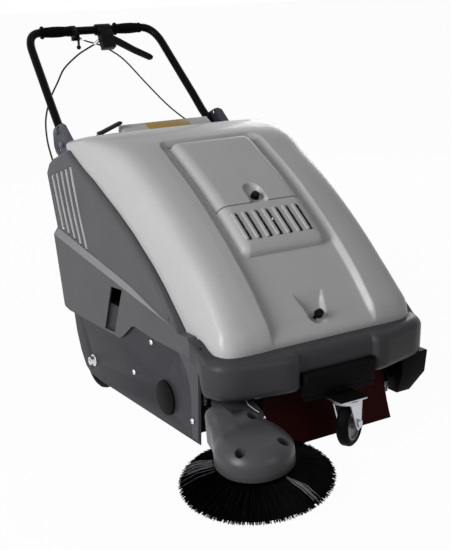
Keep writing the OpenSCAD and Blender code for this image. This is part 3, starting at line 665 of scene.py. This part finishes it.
def lay_crease(cover, end):
    """A band that lies in a side cover's crease and runs out to nothing at the front; its paler colour is
    painted light, the lit look of the crease's sloped face.
    """
    spots = [v.co * 1000 - SHIFT for v in cover.data.vertices]
    rear = max(p.y for p in spots if abs(p.z - crease_foot(p.y)) < 0.6 and abs(p.x) > 316)

    def place(y, t):
        tall = CREASE_TALL * t * step_between(BAND_FRONT, 120, y)
        out = COVER_FACE + BAND_PROUD - CREASE_DEEP * crease_share(y) * tall / CREASE_TALL
        return at(end * out, y, crease_foot(y) + tall)

    # In these two names right and left are the other way round from the solids.
    name = "right_crease" if end > 0 else "left_crease"
    piece = shape_sheet(name, spread(BAND_FRONT, rear - 4, 14)[::end], [0, 0.34, 0.67, 1], place)
    soften(piece, 40)
    mount(piece, "frame", CREASE_PAINTED_LIGHT, "dark_plastic")


def near_cover_edge(y, z):
    """Whether a point lies on the upper edge of a side cover."""
    spot = Vector((y, z))
    for a, b in zip(COVER_EDGE, COVER_EDGE[1:]):
        a, b = Vector(a), Vector(b)
        t = clamp((spot - a).dot(b - a) / (b - a).length_squared)
        if (spot - a.lerp(b, t)).length < 1.2:
            return True
    return False


def shape_cover(piece):
    """Rolls a side cover's upper edge over by a large radius and folds the cover."""
    def rolled(*ends):
        spots = [co * 1000 - SHIFT for co in ends]
        return all(abs(p.x) > 303.5 and near_cover_edge(p.y, p.z) for p in spots)

    bevel_where(piece, rolled, offset=0.011, segments=5, clamp_overlap=False)
    fold_back(piece)


for side in ("right", "left"):
    cover = refine(side + "_side_cover", "frame", COVER_GREY, "dark_plastic", 1.6, 2, 50, shape_cover, 16)
    lay_crease(cover, 1 if sum(v.co.x * 1000 - SHIFT.x for v in cover.data.vertices) > 0 else -1)
    refine(side + "_vent_bars", "frame", VENT_GREY, "vent_insert", 1.6, 3, 32, fold_back)
    refine(side + "_side_plate", "frame", SLATE_PAINT, "slate_paint", 0.7, 2)
    refine(side + "_bracket", "frame", BRACKET_PAINT, "slate_paint", 0.6, 2)
    refine(side + "_grip", "frame", GRIP_RUBBER, "grip_rubber", 0.8, 2)
    refine(side + "_wheel_hub", side + "_wheel", HUB_GREY, "wheel_hub", 0.8, 2)
    refine(side + "_tyre", side + "_wheel", TYRE_RUBBER, "tyre", 1.2, 2)

# Black sheets behind the vents, painted shade for the dark inside of the vent slots, whose names also have
# right and left the other way round
VENT_OUTLINE = ((554, 596), (550, 604), (429, 633), (335, 413), (342, 398), (506, 427))
SHADE_OUT = 301.9
for end, side in ((1, "right"), (-1, "left")):
    corners = [at(end * SHADE_OUT, y, z) for y, z in VENT_OUTLINE]
    shade = add_mesh(side + "_vent_shade", corners, [tuple(range(len(corners)))[::-end]])
    mount(shade, "frame", BLOCK_BLACK, "black_plastic")

# Node, body, finish, slot and edge radius in mm, then what differs from the usual of refine
ROUNDED = (
    ("bumper_block", "frame", BLOCK_BLACK, "dark_plastic", 3),
    ("rear_panel", "frame", SLATE_PAINT, "slate_paint", 0.8, 2),
    ("switch_box", "frame", HOOD_GREY, "hood_shell", 3),
    ("bracket_bolts", "frame", DULL_ZINC, "plated_steel", 0.6, 2),
    ("throttle_clamp", "frame", BLACK_PLASTIC, "black_plastic", 1.2, 2),
    ("throttle_lever", "throttle_lever", BLACK_PLASTIC, "black_plastic", 1.2, 2),
    ("drive_clamp", "frame", BLACK_PLASTIC, "black_plastic", 1.5, 2),
    ("drive_lever", "drive_lever", BLACK_PLASTIC, "black_plastic", 2.5),
    ("cable_ferrules", "frame", BRIGHT_PLATE, "plated_steel", 0.8, 2),
    ("hood_knob", "hood_knob", BLACK_PLASTIC, "black_plastic", 1.2, 2),
    ("lid_knob", "lid_knob", BLACK_PLASTIC, "black_plastic", 1.2, 2),
    ("latch_hub", "frame", RED_PLASTIC, "hub_red", 1, 2),
    ("latch_lever", "latch_lever", SLATE_PAINT, "zinc_steel", 2, 3),
    ("axle_covers", "frame", BLOCK_BLACK, "black_plastic", 1.5, 2),
    ("hopper", "hopper", COVER_GREY, "hopper_plastic", 1.5, 2),
    ("hopper_handle", "hopper", BLACK_PLASTIC, "black_plastic", 2, 2),
    ("flap_strips", "frame", DULL_ZINC, "zinc_steel", 0.5, 2),
    ("axle_nuts", "frame", BRIGHT_PLATE, "plated_steel", 0.8, 2),
    ("stub_axles", "frame", ZINC, "zinc_steel", 0.6, 2),
    ("caster_plate", "frame", ZINC, "zinc_steel", 0.8, 2),
    ("caster_fork", "caster_swivel", ZINC, "zinc_steel", 0.8, 2),
    ("caster_axle", "caster_swivel", ZINC, "zinc_steel", 0.8, 2),
    ("caster_hub", "caster_wheel", HUB_GREY, "wheel_hub", 0.8, 2),
    ("caster_tyre", "caster_wheel", TYRE_RUBBER, "tyre", 1.2, 2),
    ("side_brush_arm", "side_brush_arm", BRUSH_COVER_GREY, "dark_plastic", 3, 3, 32, reach_under),
    ("cover_screws", "side_brush_arm", BRIGHT_PLATE, "plated_steel", 0.6, 2),
)
for row in ROUNDED:
    refine(*row)

# Bumper, flap and the side brush's cover


def rounded_line(points, radius):
    """A line through points whose inner corners are rounded."""
    line = [Vector(points[0])]
    for before, corner, after in zip(points, points[1:], points[2:]):
        before, corner, after = Vector(before), Vector(corner), Vector(after)
        first, last = (before - corner).normalized(), (after - corner).normalized()
        reach = radius * math.tan((math.pi - first.angle(last)) / 2)
        line += [corner + reach * ((1 - k / 12) ** 2 * first + (k / 12) ** 2 * last) for k in range(13)]
    return line + [Vector(points[-1])]


def refined_line(line, pitch):
    """The same line with points about a pitch apart."""
    out = []
    for a, b in zip(line, line[1:]):
        out += [a.lerp(b, t) for t in spread(0, 1, pitch / max((b - a).length, 0.001))[:-1]]
    return out + [line[-1]]


BUMPER_PLAN = [(-322, -226), (-322, -344), (-150, -386), (150, -386), (322, -344), (322, -226)]
BUMPER_CORNER, BUMPER_WALL = 88, 3
BUMPER_TOP, BUMPER_LOW = 263.5, 167
BLOCK_SINK = 13
SKIRT_SLICES = (((236, -346, 170), (319, -280, 172)), ((236, -340, 112), (316, -280, 114)),
                ((238, -320, 62), (282, -284, 64)))
FLAP_SIDES = (-166, 209)
FLAP_FRONT, FLAP_TOP, FLAP_DROP, FLAP_BOW = -291.5, 206, 201, 40


def form_bumper():
    """The bumper: one rounded section led round the front, set back in the middle for the block."""
    line = refined_line(rounded_line(BUMPER_PLAN, BUMPER_CORNER), 3)
    spots = []
    for i, spot in enumerate(line):
        way = (line[min(i + 1, len(line) - 1)] - line[max(i - 1, 0)]).normalized()
        spots.append((spot, Vector((way.y, -way.x))))
    levels = [("inner", 1), ("top", 0)] + [("upper", k / 8) for k in range(9)]
    levels += [("lower", k / 7) for k in range(8)] + [("under", 0)]

    def place(column, level):
        spot, out = column
        kind, t = level
        # The two ends rise, and their section grows thin, where they run into the side covers.
        high = BUMPER_TOP + 27 * step_between(-300, -226, spot.y)
        low = BUMPER_LOW + 70 * step_between(-282, -256, spot.y)
        thin = 1 - 0.75 * step_between(-310, -250, spot.y)
        round_top, round_low = 24 * thin, 18 * thin
        reach = 23 + 29 * abs(out.y)
        sine, cosine = math.sin(t * math.pi / 2), math.cos(t * math.pi / 2)
        offset, z = {
            "inner": (-reach - 16, high - 14), "top": (-reach, high),
            "upper": (-round_top + round_top * sine, high - 3 - (round_top - 3) * (1 - cosine)),
            "lower": (-2 - round_low + round_low * cosine, low + round_low - round_low * sine),
            "under": (-reach - 10, low + 3)}[kind]
        if spot.y < -360 and kind != "inner":
            offset -= BLOCK_SINK * (1 - step_between(111, 123, abs(spot.x))) * step_between(-60, -16, offset)
        return at(spot.x + out.x * offset, spot.y + out.y * offset, z)

    piece = shape_sheet("front_bumper_moulding", spots, levels, place)
    fit(piece, "SOLIDIFY", thickness=BUMPER_WALL / 1000, offset=-1)
    soften(piece, 38)
    mount(piece, "frame", BUMPER_GREY, "dark_plastic", "front_bumper")


def form_skirt():
    """The deep lower corner of the bumper, on the side away from the side brush."""
    corners = [at(x, y, z) for low, high in SKIRT_SLICES
               for x in (low[0], high[0]) for y in (low[1], high[1]) for z in (low[2], high[2])]
    piece = add_mesh("bumper_skirt", corners, [])
    take(piece)
    with editing():
        bpy.ops.mesh.convex_hull()
        bpy.ops.mesh.dissolve_limited(angle_limit=math.radians(1))
    round_edges(piece, 8, 4, 30)
    soften(piece, 40)
    mount(piece, "frame", BLOCK_BLACK, "dark_plastic")


def hang_flap():
    """The rubber flap across the front of the brush chamber, bowed forwards by its own weight."""
    piece = shape_sheet("front_flap_sheet", spread(*FLAP_SIDES, 12), spread(1, 0, -0.05),
                        lambda x, t: at(x, FLAP_FRONT - FLAP_BOW * t * t, FLAP_TOP - FLAP_DROP * t))
    fit(piece, "SOLIDIFY", thickness=0.004, offset=-1)
    soften(piece, 40)
    mount(piece, "frame", RED_RUBBER, "flap_rubber", "front_flap")


form_bumper()
form_skirt()
hang_flap()

DOME_RADIUS, DOME_MIDDLE = 90, Vector((-10, 24, 0))
DOME_RIM, DOME_INSIDE, DOME_WALL = 48, 58, 76
DOME_PLAN = [(DOME_RADIUS * math.cos(math.radians(a)), DOME_RADIUS * math.sin(math.radians(a)), 0)
             for a in range(0, -181, -20)]
DOME_PLAN += [(-86, 34, 0), (-68, 70, 0), (-53, 100, 0), (-46, 128, 0), (-38, 146, 0), (-20, 153, 0),
              (0, 148, 0), (9, 132, 0), (16, 115, 0), (34, 107, 0), (55, 107, 0), (73, 95, 0), (83, 70, 0),
              (89, 36, 0)]
# Three screw pits and the spindle's bore: x, y, floor and radius
DOME_HOLES = ((-56, -32, 78, 13), (44, -50, 78, 13), (46, 72, 78, 13), (0, 0, -7, 10.4))
HOLE_DEPTH = 90


def form_brush_cover():
    """A domed cover with a lobe towards the body and three screw pits."""
    ring = smooth_path(DOME_PLAN + DOME_PLAN[:1], 5)
    levels = [(share, DOME_INSIDE) for share in (0, 0.5, 0.95)]
    levels += [(0.965, DOME_RIM), (1, DOME_RIM), (1, 60), (0.998, DOME_WALL)]
    for k in range(1, 29):
        share = (k / 28) ** 1.6
        height = DOME_WALL + 34 * rolled_edge(share * 92 / 38) + 5 * step_between(0, 1, share)
        levels.append((0.998 * (1 - share), height))

    def place(spot, level):
        share, height = level
        spot = DOME_MIDDLE.lerp(spot, share)
        lift = 36 * step_between(50, 140, spot.y) if height > DOME_WALL else 0
        return Vector((spot.x, spot.y, height + lift)) / 1000

    piece = shape_sheet("side_brush_cover_shell", ring, levels, place)
    take(piece)
    with editing():
        bpy.ops.mesh.remove_doubles(threshold=0.00005)
        bpy.ops.mesh.normals_make_consistent(inside=False)
    for x, y, low, radius in DOME_HOLES:
        pit = primitive(bpy.ops.mesh.primitive_cylinder_add, vertices=40, radius=radius / 1000,
                        depth=HOLE_DEPTH / 1000, location=Vector((x, y, low + HOLE_DEPTH / 2)) / 1000)
        bpy.ops.object.transform_apply(location=True)
        cut(piece, pit)
    round_edges(piece, 1.8, 3, 48)
    soften(piece, 42)
    settle(piece, side_place)
    mount(piece, "side_brush_arm", BRUSH_COVER_GREY, "dark_plastic", "side_brush_cover")


form_brush_cover()

# CAD nodes that are seen as they are, in their own finishes

CARRIED = {
    "chassis_frame": BLOCK_BLACK, "engine_block": CASTING, "engine_pulley": ZINC, "brush_pulley": ZINC,
    "drive_belt": BELT_RUBBER, "main_brush_core": CORE_GREY, "brush_bearings": ZINC, "arm_pivot_pin": ZINC,
    "side_brush_disc": BLACK_PLASTIC, "lift_wire": BRIGHT_PLATE,
}
for node, material in CARRIED.items():
    paint(NODES[node], material)

# Bristles

random.seed(7)


def strand_mesh(name, strands):
    """Thin three-sided strands, each along its own root, middle and tip."""
    points, faces = [], []
    for line, sizes in strands:
        start = len(points)
        way = (line[-1] - line[0]).normalized()
        side = way.cross(Vector((0, 0, 1))).normalized()
        out = side.cross(way)
        for p, size in zip(line, sizes):
            for k in range(3):
                turn = 2 * math.pi * k / 3
                points.append(p + size * (math.cos(turn) * side + math.sin(turn) * out))
        for i in range(len(line) - 1):
            for k in range(3):
                a, b = start + 3 * i + k, start + 3 * i + (k + 1) % 3
                faces.append((a, b, b + 3, a + 3))
        last = start + 3 * (len(line) - 1)
        faces += [(start + 2, start + 1, start), (last, last + 1, last + 2)]
    piece = add_mesh(name, points, faces)
    take(piece)
    with editing():
        bpy.ops.mesh.normals_make_consistent(inside=False)
    return piece


def repeat_turned(piece, count, turn):
    """Copies a piece in a row, each turned on from the last."""
    pivot = add("turn", None)
    pivot.matrix_world = turn
    bpy.context.view_layer.update()
    fit(piece, "ARRAY", count=count, use_relative_offset=False, use_object_offset=True, offset_object=pivot)
    bpy.data.objects.remove(pivot)


# Radii of a strand at its root, middle and tip, in metres
SIDE_STRAND, HIGHLIGHT_STRAND = (0.0012, 0.0011, 0.0008), (0.0004, 0.0004, 0.0003)
MAIN_STRAND = (0.0016, 0.0015, 0.0012)
SECTOR = 36
# Root, reach and number of strands of each row in a sector
SIDE_ROWS = ((50, 126, 32), (56, 142, 36), (62, 156, 42), (68, 168, 48), (73, 176, 56), (78, 179, 64))


def side_brush_sector():
    """A tenth of the side brush: rows of strands from the disc down to the floor."""
    strands = []
    for root, reach, count in SIDE_ROWS:
        for i in range(count):
            angle = math.radians(SECTOR * (i + random.uniform(-0.45, 0.45)) / count)
            lean = math.radians(random.uniform(-2.5, 2.5))
            tip = reach + random.uniform(-4, 0.5)
            bow = random.uniform(1, 6)
            low = random.uniform(0.5, 4)
            a = Vector((math.cos(angle), math.sin(angle), 0))
            b = Vector((math.cos(angle + lean), math.sin(angle + lean), 0))
            middle = a.lerp(b, 0.4).normalized() * (root + 0.5 * (tip - root))
            line = [a * root + Vector((0, 0, 41)), middle + Vector((0, 0, 20 + bow)),
                    b * tip + Vector((0, 0, low))]
            strands.append(([p / 1000 for p in line], SIDE_STRAND))
    return strand_mesh("side_brush_strands", strands)


def fill_side_brush():
    """The whole side brush: its strands, their backing and a dark heart between them."""
    piece = side_brush_sector()
    repeat_turned(piece, 360 // SECTOR, Matrix.Rotation(math.radians(SECTOR), 4, "Z"))
    backing = primitive(bpy.ops.mesh.primitive_cylinder_add, vertices=64, radius=0.08, depth=0.006,
                        location=(0, 0, 0.04))
    bpy.ops.object.transform_apply(location=True)
    round_edges(backing, 1.5, 2, 40)
    heart = primitive(bpy.ops.mesh.primitive_cone_add, vertices=64, radius1=0.17, radius2=0.052, depth=0.034,
                      location=(0, 0, 0.021))
    bpy.ops.object.transform_apply(location=True)
    piece = join([backing, piece, heart], "side_brush_tufts")
    settle(piece, side_place)
    mount(piece, "side_brush", BRISTLE_BLACK, "bristle", "side_brush_bristles")


fill_side_brush()


def highlight_strands():
    """Loose strands in two bundles, whose pale finish is a painted highlight where the glossy strands catch
    the light.
    """
    strands = []
    for first, last, count in ((126, 162, 18), (281, 294, 12)):
        for _ in range(count):
            angle = math.radians(first + (last - first) * random.random())
            way = Vector((math.cos(angle), math.sin(angle), 0))
            root, tip = random.uniform(84, 110), random.uniform(150, 179)
            rise = 43 - 0.36 * (root - 78)
            middle = way * (root + tip) / 2 + Vector((0, 0, 24 + random.uniform(3, 6)))
            line = [way * root + Vector((0, 0, rise)), middle,
                    way * tip + Vector((0, 0, 6 + (179 - tip) * 0.5))]
            strands.append(([p / 1000 for p in line], HIGHLIGHT_STRAND))
    piece = strand_mesh("side_brush_highlight_strands", strands)
    settle(piece, side_place)
    mount(piece, "side_brush", BRISTLE_HIGHLIGHT, "bristle")


highlight_strands()


MAIN_AXIS = (0, -83, 104)
MAIN_END = -236
TUFT_ROWS, TUFTS, TUFT_PITCH, SPIRAL = 6, 60, 8, 70


def fill_main_brush():
    """Six spiral rows of tufts round the core."""
    tuft = []
    for _ in range(14):
        spread_x, spread_y = random.uniform(-4, 4), random.uniform(-6, 6)
        line = [Vector((spread_x * 0.4 + MAIN_END, spread_y * 0.3, 35.4)),
                Vector((spread_x * 0.7 + MAIN_END, spread_y * 0.7, 70)),
                Vector((spread_x + MAIN_END, spread_y, 98 + random.uniform(-3, 1)))]
        tuft.append(([p / 1000 for p in line], MAIN_STRAND))
    piece = strand_mesh("main_brush_strands", tuft)
    turn = Matrix.Rotation(math.radians(SPIRAL / (TUFTS - 1)), 4, "X")
    repeat_turned(piece, TUFTS, Matrix.Translation((TUFT_PITCH / 1000, 0, 0)) @ turn)
    repeat_turned(piece, TUFT_ROWS, Matrix.Rotation(math.radians(360 / TUFT_ROWS), 4, "X"))
    settle(piece, Matrix.Translation(at(*MAIN_AXIS)))
    mount(piece, "main_brush", BRISTLE_BLACK, "bristle", "main_brush_bristles")


fill_main_brush()

# Screws and strips on the side plates, and the bare yellow plate behind the hood

PLATE_SEAT, STRIP_SEAT, STRIP_FACE = 315, 317, 316.6
STRIP_REAR = -200
STRIP_OUTLINE = [(-150, 250), (-178, 230), (-196, 205), (-209, 172), (-214, 140), (-212, 40), (-240, 40),
                 (-254, 250)]
SCREW_SPOTS = ((-19, 234), (87, 122), (-218, 86))


def plate_screw(name, y, z, side):
    """A round-headed screw with a cross recess, its head on the side plate."""
    piece = primitive(bpy.ops.mesh.primitive_uv_sphere_add, segments=20, ring_count=10, radius=0.0075)
    piece.name = piece.data.name = name
    with editing():
        bpy.ops.mesh.bisect(plane_co=(0, 0, 0), plane_no=(0, 0, 1), clear_inner=True, use_fill=True)
        bpy.ops.mesh.select_all(action="SELECT")
        bpy.ops.transform.resize(value=(1, 1, 0.55))
    for turn in (0, 90):
        blade = primitive(bpy.ops.mesh.primitive_cube_add, size=1, location=(0, 0, 0.0042))
        blade.scale = (0.007, 0.0014, 0.004)
        blade.rotation_euler = (0, 0, math.radians(turn))
        bpy.ops.object.transform_apply(location=True, rotation=True, scale=True)
        cut(piece, blade)
    soften(piece, 40)
    lean = Matrix.Rotation(math.radians(90 * side), 4, "Y")
    seat = STRIP_SEAT if y < STRIP_REAR else PLATE_SEAT
    settle(piece, Matrix.Translation(at(seat * side, y, z)) @ lean)
    mount(piece, "frame", BRIGHT_PLATE, "plated_steel")


for side_name, side in (("right", -1), ("left", 1)):
    for number, (y, z) in enumerate(SCREW_SPOTS, 1):
        plate_screw(f"{side_name}_plate_screw_{number}", y, z, side)


def strip_panel(name, side):
    """The paler front strip of a side plate."""
    corners = [at(STRIP_FACE * side, y, z) for y, z in STRIP_OUTLINE]
    piece = add_mesh(name, corners, [range(len(corners))])
    fit(piece, "SOLIDIFY", thickness=0.0006, offset=side)
    mount(piece, "frame", STRIP_PAINT, "slate_paint")


strip_panel("right_strip_panel", -1)
strip_panel("left_strip_panel", 1)


def blank_plate():
    """The plain yellow plate on the console's slope."""
    piece = primitive(bpy.ops.mesh.primitive_cube_add, size=1)
    piece.name = piece.data.name = "blank_yellow_plate"
    piece.scale = (0.142, 0.034, 0.0012)
    bpy.ops.object.transform_apply(scale=True)
    fit(piece, "BEVEL", width=0.0004, segments=2)
    soften(piece, 40)
    settle(piece, Matrix.Translation(at(55, 513.3, 702.9)) @ Matrix.Rotation(math.radians(26), 4, "X"))
    mount(piece, "frame", PLATE_YELLOW, "black_plastic")


blank_plate()

# Floor, light and background

SKY_STRENGTH = 0.12
FLOOR_TONE, FLOOR_WHITE = 0.6, 0.97


def white_to_the_camera(tree, plain, share):
    """Shows white to camera, glossy and transmission rays, and the plain shader to the others."""
    nodes, links = tree.nodes, tree.links
    rays = nodes.new("ShaderNodeLightPath")
    total = rays.outputs["Is Camera Ray"]
    for kind in ("Is Glossy Ray", "Is Transmission Ray"):
        larger = nodes.new("ShaderNodeMath")
        larger.operation = "MAXIMUM"
        links.new(total, larger.inputs[0])
        links.new(rays.outputs[kind], larger.inputs[1])
        total = larger.outputs["Value"]
    weight = nodes.new("ShaderNodeMath")
    weight.operation = "MULTIPLY"
    weight.inputs[1].default_value = share
    links.new(total, weight.inputs[0])
    in_world = tree == bpy.context.scene.world.node_tree
    white = nodes.new("ShaderNodeBackground" if in_world else "ShaderNodeEmission")
    white.inputs["Color"].default_value = (1, 1, 1, 1)
    white.inputs["Strength"].default_value = 1
    blend = nodes.new("ShaderNodeMixShader")
    links.new(weight.outputs["Value"], blend.inputs["Fac"])
    links.new(plain, blend.inputs[1])
    links.new(white.outputs[0], blend.inputs[2])
    return blend.outputs["Shader"]


world = bpy.data.worlds.new("studio")
bpy.context.scene.world = world
world.use_nodes = True
sky = world.node_tree.nodes["Background"]
sky.inputs["Color"].default_value = (1, 1, 1, 1)
sky.inputs["Strength"].default_value = SKY_STRENGTH
shown = white_to_the_camera(world.node_tree, sky.outputs["Background"], 1)
world.node_tree.links.new(shown, world.node_tree.nodes["World Output"].inputs["Surface"])

floor = primitive(bpy.ops.mesh.primitive_plane_add, size=80, location=(0, 0, -0.0005))
floor.name = "studio_floor"
paper = bpy.data.materials.new("pale_floor")
paper.use_nodes = True
plain = paper.node_tree.nodes["Principled BSDF"]
plain.inputs["Base Color"].default_value = (FLOOR_TONE, FLOOR_TONE, FLOOR_TONE, 1)
plain.inputs["Roughness"].default_value = 0.9
plain.inputs["Specular IOR Level"].default_value = 0.1
shown = white_to_the_camera(paper.node_tree, plain.outputs["BSDF"], FLOOR_WHITE)
paper.node_tree.links.new(shown, paper.node_tree.nodes["Material Output"].inputs["Surface"])
floor.data.materials.append(paper)


def area_light(name, spot, aim, size, power):
    """A rectangular lamp at a spot, turned to an aim, in metres and watts."""
    lamp = add(name, bpy.data.lights.new(name, "AREA"))
    lamp.data.shape = "RECTANGLE"
    lamp.data.size, lamp.data.size_y = size
    lamp.data.energy = power
    lamp.location = spot
    lamp.rotation_euler = (Vector(aim) - Vector(spot)).to_track_quat("-Z", "Y").to_euler()


area_light("window_left", (-3.4, -0.9, 1.5), (0, -0.1, 0.4), (1.4, 2.2), 133)
area_light("softbox_above", (-0.4, -1.3, 3.5), (0, 0, 0.4), (1.8, 1.4), 4)
area_light("softbox_front", (0.7, -4.0, 2.4), (0, 0, 0.4), (1.4, 1.4), 19)
area_light("softbox_rear", (2.9, 2.6, 1.5), (0, 0, 0.4), (1.8, 1.4), 30)
area_light("strip_left", (-2.4, -0.9, 2.3), (0, 0, 0.5), (0.05, 2.6), 7)
bpy.context.scene.view_settings.view_transform = "Standard"
